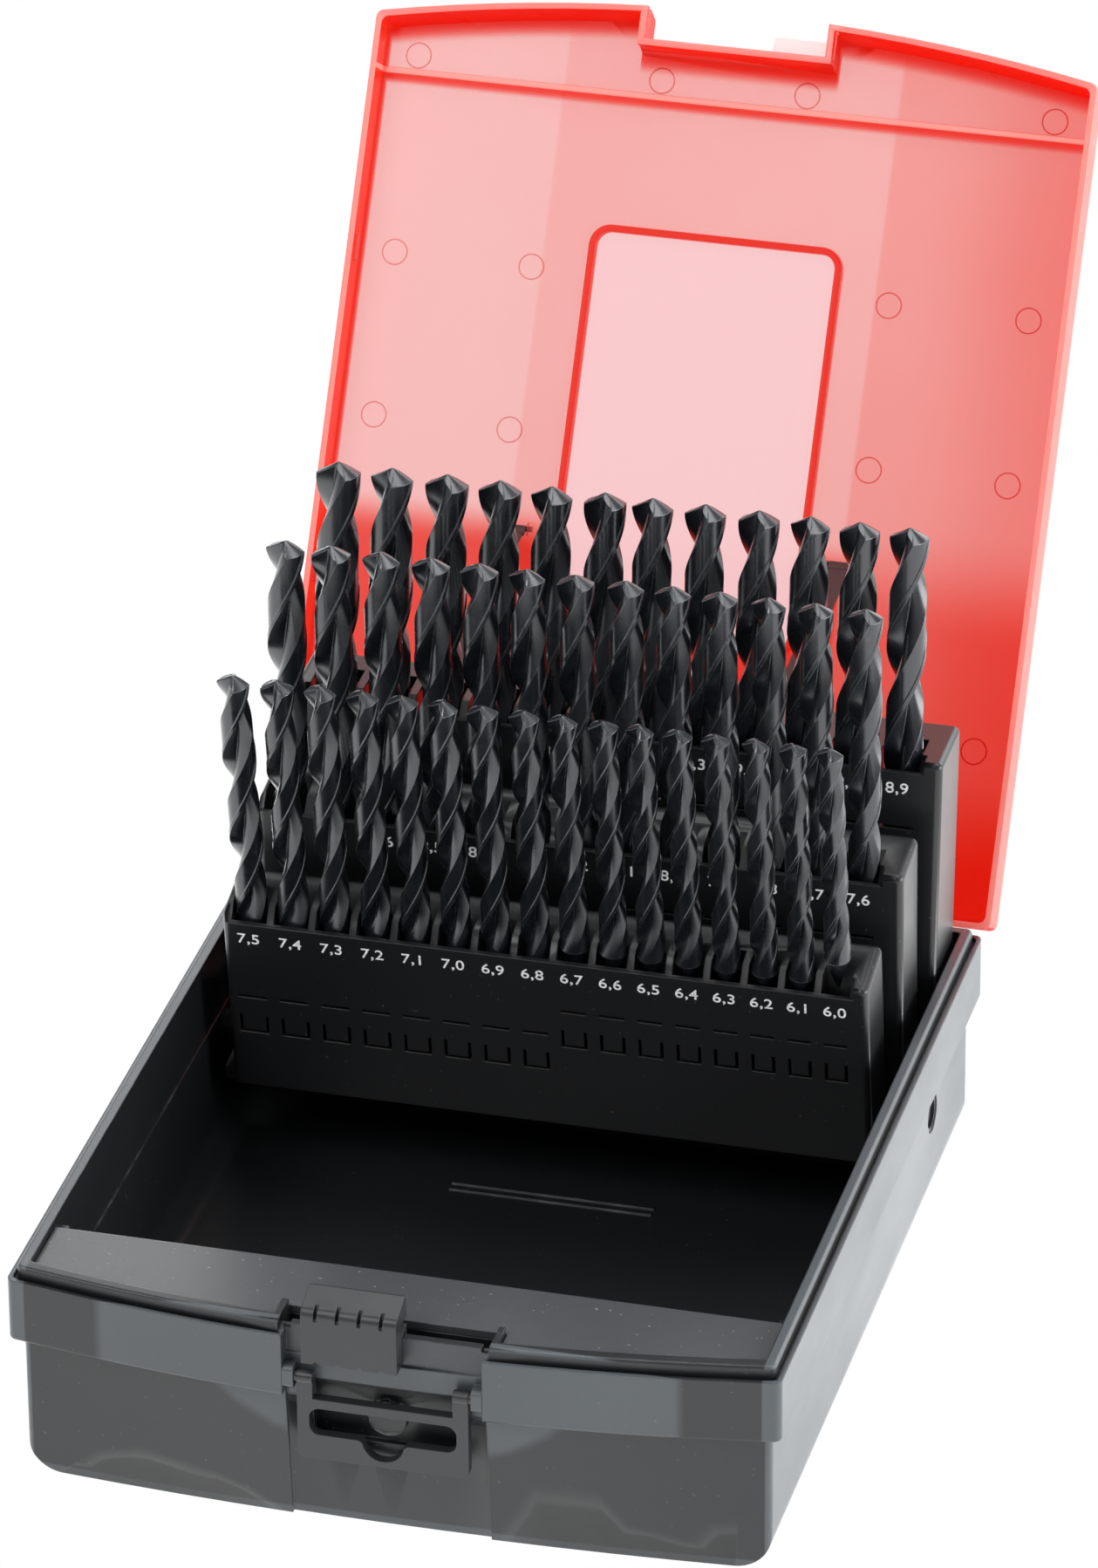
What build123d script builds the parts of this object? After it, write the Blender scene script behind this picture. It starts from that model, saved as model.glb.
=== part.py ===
from build123d import *
import math
import os

# Drill bit case: a moulded base, a hinged translucent lid, three pocketed racks that
# stand up and fan out as the lid opens, a sliding latch, a hang tab and the drills.
# Frame: millimetres, X to the right, Y to the back, Z up, origin at the centre of the
# base's underside. Every part is written in its open (resting) position.

# ---- driving dimensions: base ----
CASE_W = 170.0            # width over the band
CASE_D = 194.0            # depth over the band, measured at the corners
FRONT_BOW = 8.0           # how far the front bulges at its middle
FOOT_BOW = 3.8            # the same at the foot of the wall
BAND_TOP = 48.5           # height of the rim that the lid closes on
BAND_H = 15.0             # height of the proud band under the rim
BAND_STEP = 2.6           # how far the band stands out from the wall
TONGUE_TOP = 51.2         # top of the thin inner wall that enters the lid
TONGUE_IN = 1.7           # tongue's outer face, inside the band's outer face
GROOVE = (0.95, 1.1)      # groove at the tongue's foot: outer edge's inset, and depth
CAVITY_IN = 4.2           # cavity wall, inside the band's outer face
WALL_IN = 4.6             # the same below the band
FLOOR = 2.2
CORNER_R = 1.8            # upright corners
SIDE_R = 8.0              # bottom edges along the sides
PANEL_HALF = 22.0         # half width of the recessed panel in the front
PANEL_DEPTH = 1.1
RECESS_Y = -98.1          # floor of the hollow behind the hang tab
RECESS_HALF = 16.4
NOTCH_FLOOR = 42.5        # height of the rim inside the latch notch
POCKET_HALF = 23.1        # pocket behind the latch, which the lid's notch enters
POCKET_REAR_Y = -93.9
POCKET_FLOOR = 41.5
POCKET_WALL = 1.4
RAIL_Y = (-100.5, -98.5)  # front and rear of the rail that the slider straddles
RAIL_TOP = 49.4
SHELF_TOP = 49.6
SHELF_T = 1.8
SHELF_REAR_Y = -75.6

# ---- driving dimensions: racks and the studs they turn on ----
AXLE_Y = 58.6             # common axis of all three racks
AXLE_Z = 23.7
STUD_R = 2.2
STUD_IN = 74.0            # inner end of each stud, from the middle of the case
JOURNAL_R = 4.45
RUN_GAP = 0.06            # radial clearance of every running fit
RACK_TOP_RISE = 2.7       # end blocks stand this far above the front lip at their front
REAR_RISE = 2.1           # and slope up this much more towards the rear
ROW_LENGTH = 143.3        # length of a row of pockets
FRONT_WALL = 1.3
POCKET_GAP = 0.3          # clearance round a drill in its pocket
EAR_R = 4.3

# name, forward lean, front face, thickness, lip height (both from the axle), left end,
# right end, middle of the row, exposed drill length, first and last drill (in tenths)
RACKS = {
    "front": (8.0, -20.7, 15.5, 46.0, -74.4, 73.4, -1.7, 64.9, 75, 60),
    "middle": (1.5, -4.7, 16.0, 60.4, -71.9, 76.4, -0.1, 66.8, 88, 76),
    "back": (-5.0, 11.8, 19.4, 77.0, -70.8, 79.4, 3.4, 56.4, 100, 89),
}

# ears that turn on the studs: x range at the left, x range at the right, and the arm
# that joins them to the rack: front, back, bottom and top
EARS = {
    "front": ((-76.4, -73.4), (72.4, 76.0), (-20.0, 0.0, 0.8, 4.3)),
    "middle": ((-78.4, -76.8), (76.4, 78.0), (-4.0, 4.0, 0.0, 15.0)),
    "back": ((-80.1, -78.8), (78.4, 80.0), (0.0, 20.0, -4.3, 4.3)),
}
# bridges from the racks' ends out to ears that stand off from them:
# x range at the left and right, then front, back, bottom and top
BRIDGES = {
    "middle": ((-77.0, -71.0), (75.0, 77.0), (-4.0, 10.0, 9.4, 15.0)),
    "back": ((-79.0, -70.0), (77.0, 79.0), (12.2, 20.0, -1.0, 9.0)),
}

# links that join each rack to the one behind it: pivot height and swing when open
LINKED = ("front", "middle")
LINK_X = 68.8
LINK_LENGTH = 8.4
LINK_LOW = {"front": 27.0, "middle": 38.0}
LINK_OPEN = {"front": 31.0, "middle": 39.0}

# overall length of a standard jobber drill up to each diameter
DRILL_LENGTHS = ((6.0, 93.0), (6.7, 101.0), (7.5, 109.0), (8.5, 117.0), (9.5, 125.0), (10.0, 133.0))
POINT_ANGLE = 118.0
SHANK_CHAMFER = 0.6

# ---- driving dimensions: lid ----
HINGE_Y = 100.0
HINGE_Z = 45.0
LID_OPEN = 121.7          # degrees from closed
LID_DEPTH = 10.6
LID_T = 1.9
LID_SKIRT = 1.3
LID_KNEE = TONGUE_TOP + 0.5
LID_RAKE = 0.3            # slope of the lid's front above the knee
LID_NOTCH = 8.2           # depth of the notch in the lid's front edge
NOTCH_HALF = 21.4
WINDOW_HALF = 29.8
WINDOW_Y = (-54.0, 40.6)  # front and rear edge of the window, lid closed
ANCHOR_X = 38.5
ANCHOR_Y = 18.0           # strap anchors, lid closed
RIB_Y = -84.4             # stiffening rib across the lid
NUB_Y = (-42.0, 33.0)
KNUCKLE_R = 2.7
PIN_R = 1.25
HINGE_X = 55.0

# ---- driving dimensions: latch and hang tab ----
SLIDER_W = 21.0
SLIDER_X = -6.8           # middle of the slider when open
SLIDER_TOP = (55.9, 58.6)  # height of the slider at its front and rear edge
CATCH_Z = (51.4, 52.7)
TAB_HALF = 18.8
TAB_Y = -102.85
TAB_PIVOT_Z = 38.2
TAB_BOTTOM_Z = 18.6


# ---------------------------------------------------------------- outlines

def plan(inset, corner=0.0, bow=FRONT_BOW, short=0.0):
    """Plan of the case, moved inwards by inset, and shortened at its bowed front."""
    half = CASE_W / 2 - inset
    rear = CASE_D / 2 - inset
    front = -CASE_D / 2 + inset + short
    edge = ThreePointArc((-half, front), (0, front - bow), (half, front))
    sides = Polyline((half, front), (half, rear), (-half, rear), (-half, front))
    face = make_face(edge + sides)
    return fillet(face.vertices(), corner) if corner else face


def plan_block(inset, corner, low, high):
    """The case's plan made solid between two heights."""
    return Pos(0, 0, low) * extrude(plan(inset, corner), high - low)


def box_between(low, high):
    """A box from its lowest to its highest corner."""
    size = [b - a for a, b in zip(low, high)]
    middle = [(a + b) / 2 for a, b in zip(low, high)]
    return Pos(*middle) * Box(*size)


def rod_x(radius, left, right, y=0.0, z=0.0):
    """A round bar along X."""
    return Pos((left + right) / 2, y, z) * Rot(Y=90) * Cylinder(radius, right - left)


def rod_y(radius, front, rear, x=0.0, z=0.0):
    """A round bar along Y."""
    return Pos(x, (front + rear) / 2, z) * Rot(X=90) * Cylinder(radius, rear - front)


def front_tip(inset):
    """Y of the middle of the bowed front."""
    return -CASE_D / 2 - FRONT_BOW + inset


def wall_block(inset, low, edge_radius):
    """The body below the band: the front bows less towards the foot, and the bottom
    edges along the sides are rounded."""
    half = CASE_W / 2 - inset
    top = BAND_TOP - BAND_H + 1
    block = loft([plan(inset, bow=FOOT_BOW), Pos(0, 0, top) * plan(inset)], ruled=True)
    block = fillet(block.edges().filter_by_position(Axis.Z, 1, top - 1), CORNER_R)
    tray = box_between((-half, -150, low), (half, 150, top + 10))
    tray = fillet(tray.edges().filter_by(Axis.Y).sort_by(Axis.Z)[:2], edge_radius)
    return block & tray


# ---------------------------------------------------------------- base

def base_shell():
    """Outer wall, proud band, tongue and cavity."""
    body = wall_block(BAND_STEP, 0, SIDE_R)
    band = plan_block(0, CORNER_R, BAND_TOP - BAND_H, BAND_TOP)
    band = fillet(band.faces().sort_by(Axis.Z)[0].edges(), 0.8)
    tongue = plan_block(TONGUE_IN, CORNER_R, BAND_TOP - 1, TONGUE_TOP)
    tongue = fillet(tongue.faces().sort_by(Axis.Z)[-1].edges(), 0.7)
    cavity = wall_block(WALL_IN, FLOOR, SIDE_R - 2)
    upper = plan_block(CAVITY_IN, CORNER_R - 0.8, BAND_TOP - BAND_H - 1, TONGUE_TOP + 1)
    edge, depth = GROOVE
    groove = plan_block(edge, CORNER_R, BAND_TOP - depth, BAND_TOP + 1)
    groove -= plan_block(TONGUE_IN, CORNER_R, BAND_TOP - depth - 1, BAND_TOP + 2)
    return body + band + tongue - cavity - upper - groove


def latch_pocket():
    """Walls and floor that close off the space behind the latch."""
    half = POCKET_HALF + POCKET_WALL
    low = POCKET_FLOOR - POCKET_WALL
    sides = box_between((-half, RAIL_Y[0], low), (half, POCKET_REAR_Y, TONGUE_TOP))
    under_shelf = SHELF_TOP - SHELF_T - 0.05
    return sides + box_between((-half, RAIL_Y[0], low), (half, POCKET_REAR_Y + POCKET_WALL, under_shelf))


def latch_notch():
    """What is cut from the front: the recessed panel, the gap in the band and the
    space behind it."""
    recess = BAND_STEP + PANEL_DEPTH
    high = TONGUE_TOP + 1
    panel = box_between((-PANEL_HALF, -120, -1), (PANEL_HALF, -80, high))
    panel -= wall_block(recess, 0, SIDE_R)
    panel -= plan_block(recess, CORNER_R, BAND_TOP - BAND_H - 1, high + 1)
    gap = box_between((-PANEL_HALF, -120, NOTCH_FLOOR), (PANEL_HALF, RAIL_Y[1], high))
    mouth = box_between((-POCKET_HALF, -120, BAND_TOP), (POCKET_HALF, POCKET_REAR_Y, high))
    pocket = box_between((-POCKET_HALF, RAIL_Y[1], POCKET_FLOOR), (POCKET_HALF, POCKET_REAR_Y, high))
    return panel + gap + mouth + pocket


def latch_rail():
    """The wall in the notch that the slider straddles."""
    wall = box_between((-PANEL_HALF, RAIL_Y[0], 30.0), (PANEL_HALF, RAIL_Y[1], BAND_TOP))
    return wall + box_between((-21.0, RAIL_Y[0], 40.0), (21.0, RAIL_Y[1], RAIL_TOP))


def tab_hollow():
    """The hollow behind the hang tab, deeper towards its foot, with a round boss in it."""
    profile = Polyline(
        (-120, 22.0), (RECESS_Y, 22.0), (RECESS_Y, 31.0), (RAIL_Y[0], 37.0), (-120, 37.0), close=True)
    hollow = Pos(-RECESS_HALF, 0, 0) * extrude(Plane.YZ * make_face(profile), 2 * RECESS_HALF)
    boss = rod_y(4.2, RAIL_Y[0] + 0.3, RECESS_Y + 1, 0, 28.4)
    return hollow - boss


def hollow_wall():
    """Wall behind the hollow, inside the cavity."""
    half = RECESS_HALF + 1.6
    return box_between((-half, RAIL_Y[0] + 0.4, 20.4), (half, RECESS_Y + 1.5, POCKET_FLOOR - 0.5))


def tab_ears():
    """Two lugs under the band that carry the hang tab's pins."""
    lugs = Part()
    for side in (-1, 1):
        x = side * (TAB_HALF + 1.9)
        low = (x - 1.2, TAB_Y - 1.7, TAB_PIVOT_Z - 2.6)
        high = (x + 1.2, TAB_Y + 2.3, TAB_PIVOT_Z + 2.6)
        lugs += fillet(box_between(low, high).edges().filter_by(Axis.X), 1.2)
    return lugs - rod_x(1.3 + RUN_GAP, -PANEL_HALF + 0.4, PANEL_HALF - 0.4, TAB_Y, TAB_PIVOT_Z)


def base_knuckles():
    """Hinge knuckles on the back wall, each on a web."""
    profile = Polyline(
        (CASE_D / 2 - 1.5, HINGE_Z), (HINGE_Y, HINGE_Z), (HINGE_Y + 2.3, HINGE_Z - 1.4),
        (CASE_D / 2 - 1.5, HINGE_Z - 9), close=True)
    knuckles = Part()
    for side in (-1, 1):
        x = side * HINGE_X
        web = Pos(x, 0, 0) * extrude(Plane.YZ * make_face(profile), 7, both=True)
        knuckles += rod_x(KNUCKLE_R, x - 7, x + 7, HINGE_Y, HINGE_Z) + web
    return knuckles - rod_x(PIN_R + 0.02, -HINGE_X - 8, HINGE_X + 8, HINGE_Y, HINGE_Z)


def axle_holes():
    """Keyhole openings in both side walls for the rack studs."""
    holes = rod_x(JOURNAL_R + RUN_GAP, -CASE_W / 2, CASE_W / 2, AXLE_Y, AXLE_Z)
    slot = box_between((-CASE_W / 2, AXLE_Y + 1.0, AXLE_Z), (CASE_W / 2, AXLE_Y + 3.4, AXLE_Z + 6.2))
    return holes + slot


def case_base():
    base = base_shell() + latch_pocket() + hollow_wall() - latch_notch()
    base += latch_rail() + tab_ears() + base_knuckles()
    base -= tab_hollow()
    base -= axle_holes()
    for y in (35.2, 37.8):
        base += box_between((-23.5, y - 0.5, FLOOR - 0.5), (23.5, y + 0.5, FLOOR + 0.4))
    ledge_z = SHELF_TOP - SHELF_T - 0.05
    for side in (-1, 1):
        x = side * (CASE_W / 2 - CAVITY_IN - 1)
        base += box_between((x - 1.2, -90, ledge_z - 3), (x + 1.2, SHELF_REAR_Y + 4, ledge_z))
    return base


def front_shelf():
    """Plate that closes the front of the cavity, just under the rim."""
    plate = plan_block(CAVITY_IN + 0.25, CORNER_R - 1, SHELF_TOP - SHELF_T, SHELF_TOP)
    plate -= box_between((-100, SHELF_REAR_Y, 0), (100, 120, 100))
    half = POCKET_HALF + POCKET_WALL + 0.25
    return plate - box_between((-half, -120, 0), (half, POCKET_REAR_Y + 0.1, 100))


# ---------------------------------------------------------------- lid, built closed

def lid_block(inset, low, high):
    """The lid's outline made solid: upright to the knee, then raked back at the front."""
    top = plan(inset, CORNER_R, short=LID_RAKE * (high - LID_KNEE))
    upper = loft([Pos(0, 0, LID_KNEE) * plan(inset, CORNER_R), Pos(0, 0, high) * top], ruled=True)
    return plan_block(inset, CORNER_R, low, LID_KNEE) + upper


def notch_block(half, depth):
    """The notch in the lid's front edge made solid, its rear face raked like the front."""
    rear = front_tip(0) + depth
    slope = LID_RAKE * (80 - LID_KNEE)
    profile = Polyline(
        (-120, 0), (rear, 0), (rear, LID_KNEE), (rear + slope, 80), (-120, 80), close=True)
    return extrude(Plane.YZ * make_face(profile), half, both=True)


def lid_shell():
    """Top and skirts, with a skirt round the notch as well."""
    outer = lid_block(0.1, BAND_TOP + 0.3, BAND_TOP + LID_DEPTH)
    outer = fillet(outer.faces().sort_by(Axis.Z)[-1].edges(), 1.4)
    inner = lid_block(LID_SKIRT + 0.1, BAND_TOP, BAND_TOP + LID_DEPTH - LID_T)
    inner -= notch_block(NOTCH_HALF + 1.4, LID_NOTCH + 1.5)
    return outer - inner - notch_block(NOTCH_HALF, LID_NOTCH)


def lid_catch():
    """The tooth in the notch that the slider holds."""
    edge = front_tip(0) + LID_NOTCH
    catch = box_between((8.6, edge - 3.6, CATCH_Z[0]), (NOTCH_HALF + 0.2, edge + 0.5, CATCH_Z[1]))
    return fillet(catch.edges().filter_by(Axis.Z).sort_by(Axis.Y)[:1], 0.8)


def window_frame():
    """Raised frame on the inside of the lid round the clear window."""
    inner_top = BAND_TOP + LID_DEPTH - LID_T
    length = WINDOW_Y[1] - WINDOW_Y[0]
    middle = (WINDOW_Y[0] + WINDOW_Y[1]) / 2
    ring = RectangleRounded(2 * WINDOW_HALF, length, 5) - RectangleRounded(2 * WINDOW_HALF - 3, length - 3, 3.5)
    return Pos(0, middle, inner_top - 0.6) * extrude(ring, 1.0)


def strap_lugs():
    """Two pairs of lugs inside the lid that hold the straps' cross bars."""
    inner_top = BAND_TOP + LID_DEPTH - LID_T
    lugs = Part()
    for side in (-1, 1):
        for step in (-1, 1):
            x = side * ANCHOR_X + step * 3.7
            lugs += box_between((x - 0.7, ANCHOR_Y - 1.5, inner_top - 1.9), (x + 0.7, ANCHOR_Y + 1.5, inner_top + 0.5))
    bar = rod_x(0.62 + RUN_GAP, -ANCHOR_X - 4.1, ANCHOR_X + 4.1, ANCHOR_Y, inner_top - 1.0)
    return lugs - bar


def lid_knuckles():
    """Hinge knuckles hung from the lid's rear skirt on curved webs."""
    rear = CASE_D / 2 - 0.1
    profile = Polyline(
        (rear - 0.8, BAND_TOP + 0.5), (rear + 0.4, BAND_TOP + 0.5), (rear + 0.4, HINGE_Z),
        (HINGE_Y + 0.5, HINGE_Z), (HINGE_Y + 2.5, HINGE_Z + 1.0), (rear + 1.2, BAND_TOP + 6.5),
        (rear - 0.8, BAND_TOP + 6.5), close=True)
    knuckles = Part()
    for side in (-1, 1):
        for step in (-1, 1):
            x = side * HINGE_X + step * 11.4
            web = Pos(x, 0, 0) * extrude(Plane.YZ * make_face(profile), 4, both=True)
            knuckles += rod_x(KNUCKLE_R, x - 4, x + 4, HINGE_Y, HINGE_Z) + web
    return knuckles - rod_x(PIN_R + RUN_GAP, -HINGE_X - 16, HINGE_X + 16, HINGE_Y, HINGE_Z)


def lid_nubs():
    """Small snap noses on the inside of the skirts."""
    nubs = Part()
    for side in (-1, 1):
        for y in NUB_Y:
            x = side * (CASE_W / 2 - LID_SKIRT - 0.2)
            nubs += box_between((x - 0.4, y - 3, BAND_TOP + 3.2), (x + 0.4, y + 3, BAND_TOP + 4.2))
    return nubs


def open_lid(shape):
    """Swing a shape from the closed to the open position."""
    hinge = Pos(0, HINGE_Y, HINGE_Z)
    return hinge * Rot(X=-LID_OPEN) * Pos(0, -HINGE_Y, -HINGE_Z) * shape


def lid():
    inner_top = BAND_TOP + LID_DEPTH - LID_T
    rib = box_between((-83.2, RIB_Y - 0.6, inner_top - 1.4), (83.2, RIB_Y + 0.6, inner_top + 0.5))
    shell = lid_shell() + lid_catch() + rib
    return open_lid(shell + window_frame() + strap_lugs() + lid_knuckles() + lid_nubs())


def hinge_pins():
    pins = Part()
    for side in (-1, 1):
        pins += rod_x(PIN_R, side * HINGE_X - 15, side * HINGE_X + 15, HINGE_Y, HINGE_Z)
    return pins


# ---------------------------------------------------------------- racks, built upright

def place_rack(name, shape):
    """Lean a shape built upright round the axle, and move it onto the axle."""
    return Pos(0, AXLE_Y, AXLE_Z) * Rot(X=RACKS[name][0]) * shape


def drill_length(diameter):
    for limit, length in DRILL_LENGTHS:
        if diameter <= limit + 0.001:
            return length
    return DRILL_LENGTHS[-1][1]


def pocket_row(name):
    """(diameter, x, y, z of the pocket's floor) for each drill, left to right."""
    _, face, _, lip, _, _, middle, shown, first, last = RACKS[name]
    sizes = [tenth / 10 for tenth in range(first, last - 1, -1)]
    spare = (ROW_LENGTH - sum(sizes)) / len(sizes)
    places = []
    x = middle - ROW_LENGTH / 2
    for size in sizes:
        x += (size + spare) / 2
        y = face + FRONT_WALL + POCKET_GAP + size / 2
        places.append((size, x, y, lip + shown - drill_length(size)))
        x += (size + spare) / 2
    return places


def rack_bottom(name):
    return min(place[3] for place in pocket_row(name)) - 1.4


def rack_block(name):
    """The rack's body before the pockets: rounded end blocks, sloped lip."""
    _, face, thick, lip, left, right, middle, _, _, _ = RACKS[name]
    top = lip + RACK_TOP_RISE
    low = rack_bottom(name)
    side = Polyline(
        (face, low), (face + thick, low), (face + thick, top + REAR_RISE), (face, top), close=True)
    block = Pos(left, 0, 0) * extrude(Plane.YZ * make_face(side), right - left)
    block = fillet(block.edges().filter_by(Axis.Z), 1.6)
    block = fillet(block.faces().sort_by(Axis.Z)[-1].edges(), 1.5)
    row = ROW_LENGTH / 2 + 0.2
    slope = Polyline(
        (face - 1, lip), (face + FRONT_WALL, lip),
        (face + 4.4, top + 1.0), (face - 1, top + 1.0), close=True)
    wedge = extrude(Plane.YZ * make_face(slope), row, both=True)
    return block - Pos(middle, 0, 0) * wedge


def spring_tongues(name):
    """U-shaped slits in the front wall that free a spring tongue at each pocket."""
    _, face, _, lip, _, _, _, _, _, _ = RACKS[name]
    places = pocket_row(name)
    cuts = Part()
    for number, (size, x, _, _) in enumerate(places):
        drop = 20.0 if number < len(places) / 2 else 13.0
        half = size / 2 - 0.4
        low = lip - drop - 10.4
        cuts += box_between((x - half, face - 1, lip - drop - 0.7), (x + half, face + 2, lip - drop))
        cuts += box_between((x - half, face - 1, low), (x + half, face + 2, low + 0.7))
        for side in (-1, 1):
            edge = x + side * (half - 0.35)
            cuts += box_between((edge - 0.35, face - 1, low), (edge + 0.35, face + 2, low + 4.8))
    return cuts


def rear_windows(name):
    """Openings behind the pockets, under the bar along the top."""
    _, face, thick, lip, _, _, _, _, _, _ = RACKS[name]
    cuts = Part()
    for size, x, y, _ in pocket_row(name):
        half = size / 2 - 0.3
        cuts += box_between((x - half, y, lip - 26), (x + half, face + thick + 1, lip + 0.7))
    return cuts


def shallow_side(name):
    """What is left away under the pockets of the shorter drills, clear of the studs."""
    _, face, thick, _, _, right, _, _, _, _ = RACKS[name]
    places = pocket_row(name)
    low = places[-1][3]
    first = next(place for place in places if abs(place[3] - low) < 0.01)
    left = first[1] - first[0] / 2 - 1.4
    return box_between((left, face - 1, low - 30), (right + 1, face + thick + 1, low - 1.4))


def rack_ears(name):
    """Discs that turn on the studs, with the arms and bridges that carry them."""
    left, right, arm = EARS[name]
    ears = Part()
    for span in (left, right):
        ears += rod_x(EAR_R, span[0], span[1])
        ears += box_between((span[0], arm[0], arm[2]), (span[1], arm[1], arm[3]))
    if name in BRIDGES:
        left, right, arm = BRIDGES[name]
        for span in (left, right):
            ears += box_between((span[0], arm[0], arm[2]), (span[1], arm[1], arm[3]))
    return ears


def link_grooves(name):
    """Grooves in the rear face for the fan links, with holes for their pins."""
    _, face, thick, _, _, _, _, _, _, _ = RACKS[name]
    rear = face + thick
    low = LINK_LOW[name]
    grooves = Part()
    for side in (-1, 1):
        x = side * LINK_X
        grooves += box_between((x - 2.1, rear - 1.7, low - 1.2), (x + 2.1, rear + 1, low + LINK_LENGTH + 1.2))
        grooves += rod_x(0.5 + RUN_GAP, x - 3.0, x + 3.0, rear - 0.9, low)
    return grooves


def rack(name):
    block = rack_block(name)
    if name == "middle":
        block -= shallow_side(name)
    cuts = spring_tongues(name)
    for size, x, y, floor in pocket_row(name):
        half = size / 2 + POCKET_GAP
        cuts += box_between((x - half, y - half, floor), (x + half, y + half, 200))
    if name == "back":
        cuts += rear_windows(name)
    if name in LINKED:
        cuts += link_grooves(name)
    body = block - cuts + rack_ears(name)
    body -= rod_x(STUD_R + RUN_GAP, -90, -STUD_IN + 1) + rod_x(STUD_R + RUN_GAP, STUD_IN - 3, 90)
    return place_rack(name, body)


def pivot_studs():
    """Two studs in the side walls that all three racks turn on, dished outside."""
    wall_out = CASE_W / 2 - BAND_STEP
    wall_in = CASE_W / 2 - WALL_IN
    studs = Part()
    for side in (-1, 1):
        studs += rod_x(STUD_R, *sorted((side * STUD_IN, side * (wall_in + 1))))
        journal = rod_x(JOURNAL_R, *sorted((side * (wall_in - 0.1), side * (wall_out - 0.3))))
        dish = rod_x(JOURNAL_R - 1.0, *sorted((side * (wall_out - 1.2), side * (wall_out + 1))))
        studs += journal - dish
    return Pos(0, AXLE_Y, AXLE_Z) * studs


# ---------------------------------------------------------------- links and straps

def fan_links(name):
    """Two short links in the rear face, swung out towards the next rack."""
    _, face, thick, _, _, _, _, _, _, _ = RACKS[name]
    links = Part()
    for side in (-1, 1):
        x = side * LINK_X
        strip = box_between((x - 1.6, -0.45, -0.45), (x + 1.6, 0.45, LINK_LENGTH))
        strip = fillet(strip.edges().filter_by(Axis.X), 0.4) + rod_x(0.5, x - 2.9, x + 2.9)
        links += Pos(0, face + thick - 0.9, LINK_LOW[name]) * Rot(X=-LINK_OPEN[name]) * strip
    return place_rack(name, links)


def strap_end():
    """Where the straps meet the back rack, upright coordinates from the axle."""
    _, face, thick, lip, _, _, _, _, _, _ = RACKS["back"]
    return face + thick, lip + RACK_TOP_RISE + REAR_RISE


def strap(side):
    """A flat strap with a cross bar in the lid's lugs and a hooked end at the rack."""
    inner_top = BAND_TOP + LID_DEPTH - LID_T
    bar_at = open_lid(Pos(0, ANCHOR_Y, inner_top - 1.0) * Vertex(0, 0, 0)).center()
    y, z = strap_end()
    rack_at = place_rack("back", Vertex(0, y, z)).center()
    span = math.hypot(bar_at.Y - rack_at.Y, bar_at.Z - rack_at.Z)
    rise = math.degrees(math.atan2(bar_at.Z - rack_at.Z, bar_at.Y - rack_at.Y))
    x = side * ANCHOR_X
    strip = box_between((x - 2.3, -span + 0.6, -0.4), (x + 2.3, 0, 0.4))
    bar = rod_x(0.62, x - 3.9, x + 3.9)
    head = box_between((x - 2.6, -2.2, -0.5), (x + 2.6, 0.6, 0.5))
    hook = box_between((x - 3.2, -span + 0.6, -0.4), (x + 3.2, -span + 2.2, 0.4))
    return Pos(0, bar_at.Y, bar_at.Z) * Rot(X=rise) * (strip + bar + head + hook)


# ---------------------------------------------------------------- latch and hang tab

def latch_slider():
    """Slide that wraps the rail's upper edge and covers the lid's catch."""
    left = SLIDER_X - SLIDER_W / 2
    right = SLIDER_X + SLIDER_W / 2
    front = RAIL_Y[0] - 5.0
    rear = RAIL_Y[1] + 1.3
    profile = Polyline(
        (front, NOTCH_FLOOR + 0.6), (front, SLIDER_TOP[0]), (rear, SLIDER_TOP[1]),
        (rear, NOTCH_FLOOR + 0.6), close=True)
    block = Pos(left, 0, 0) * extrude(Plane.YZ * make_face(profile), SLIDER_W)
    edges = block.edges().filter_by(Axis.X).sort_by(Axis.Z)
    block = fillet(edges[-2], 2.2)
    block = fillet(block.edges().filter_by(Axis.X).sort_by(Axis.Z)[-1], 0.8)
    rail_slot = box_between(
        (left - 1, RAIL_Y[0] - 0.3, 0), (right + 1, RAIL_Y[1] + 0.3, RAIL_TOP + 0.3))
    catch_way = box_between(
        (left - 1, RAIL_Y[0] - 0.4, CATCH_Z[0] - 0.3), (right + 1, rear + 1, CATCH_Z[1] + 0.3))
    block = block - rail_slot - catch_way
    for number in range(4):
        x = left + 3.2 + 4.8 * number
        block -= box_between((x - 0.4, front - 1, SLIDER_TOP[0] - 2.2), (x + 0.4, front + 2.4, 60))
        block -= rod_y(0.6, front - 1, front + 1.2, x, NOTCH_FLOOR + 0.6)
    return block


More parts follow.
